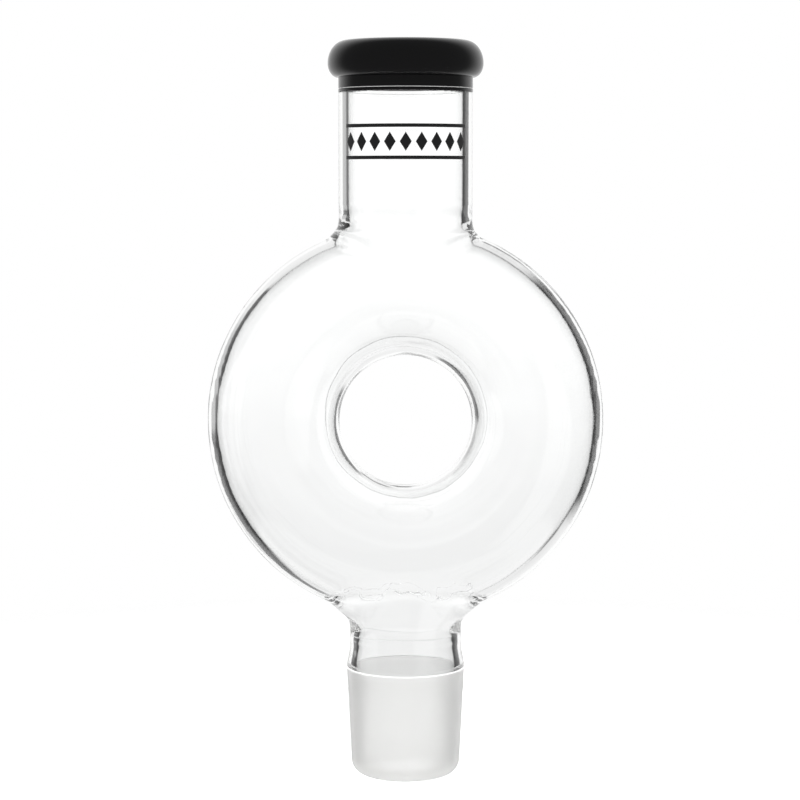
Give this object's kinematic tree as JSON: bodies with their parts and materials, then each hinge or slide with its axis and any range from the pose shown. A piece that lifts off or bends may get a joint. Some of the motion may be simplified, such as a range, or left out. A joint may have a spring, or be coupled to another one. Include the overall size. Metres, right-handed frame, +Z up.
{
  "type": "glass ring-chamber adapter",
  "caption": "Clear glass adapter: hollow ring chamber with an open centre, neck with rolled black mouth, ground male cone joint below.",
  "frame": {"origin": "on the axis of the neck and joint, at the bottom of the joint's tip", "axes": "+Z up the axis towards the mouth, +Y along the hole of the ring towards the back, so the printed front faces -Y and +X is to its right"},
  "size_m": [0.15, 0.0584, 0.2787],
  "materials": {
    "clear_glass": "clear polished borosilicate",
    "frosted_glass": "fine ground, matt white",
    "black_glass": "opaque, fire polished",
    "enamel_print": "fired black enamel"
  },
  "bodies": {
    "root": {"joint_shank": "clear_glass", "lower_seal": "clear_glass", "ring_front": "clear_glass", "ring_back": "clear_glass", "throat_band": "clear_glass", "neck_seal": "clear_glass", "neck_tube": "clear_glass", "ground_cone": "frosted_glass", "rounded_tip": "frosted_glass", "lip_roll": "black_glass", "black_collar": "black_glass", "collar_seam": "black_glass", "neck_mark": "enamel_print"}
  },
  "joints": []
}
